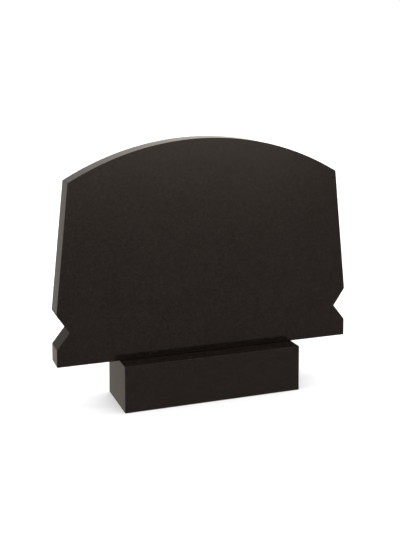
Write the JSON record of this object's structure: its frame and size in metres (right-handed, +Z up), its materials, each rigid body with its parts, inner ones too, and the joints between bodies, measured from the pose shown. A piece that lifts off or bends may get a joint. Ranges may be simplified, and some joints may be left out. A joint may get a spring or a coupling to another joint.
{
  "type": "headstone",
  "caption": "Wide upright stone slab with a low arched top and a notch in each side above its feet, standing on the middle of a shorter, deeper rectangular plinth.",
  "frame": {"origin": "middle of the plinth's underside, on the ground", "axes": "+X along the width, +Y from the inscription face towards the back, +Z up"},
  "size_m": [1, 0.2, 0.8503],
  "materials": {
    "polished_granite": "mirror polished black granite with a brown cast and a fine grain"
  },
  "bodies": {
    "root": {"plinth": "polished_granite", "stele": "polished_granite"}
  },
  "joints": []
}
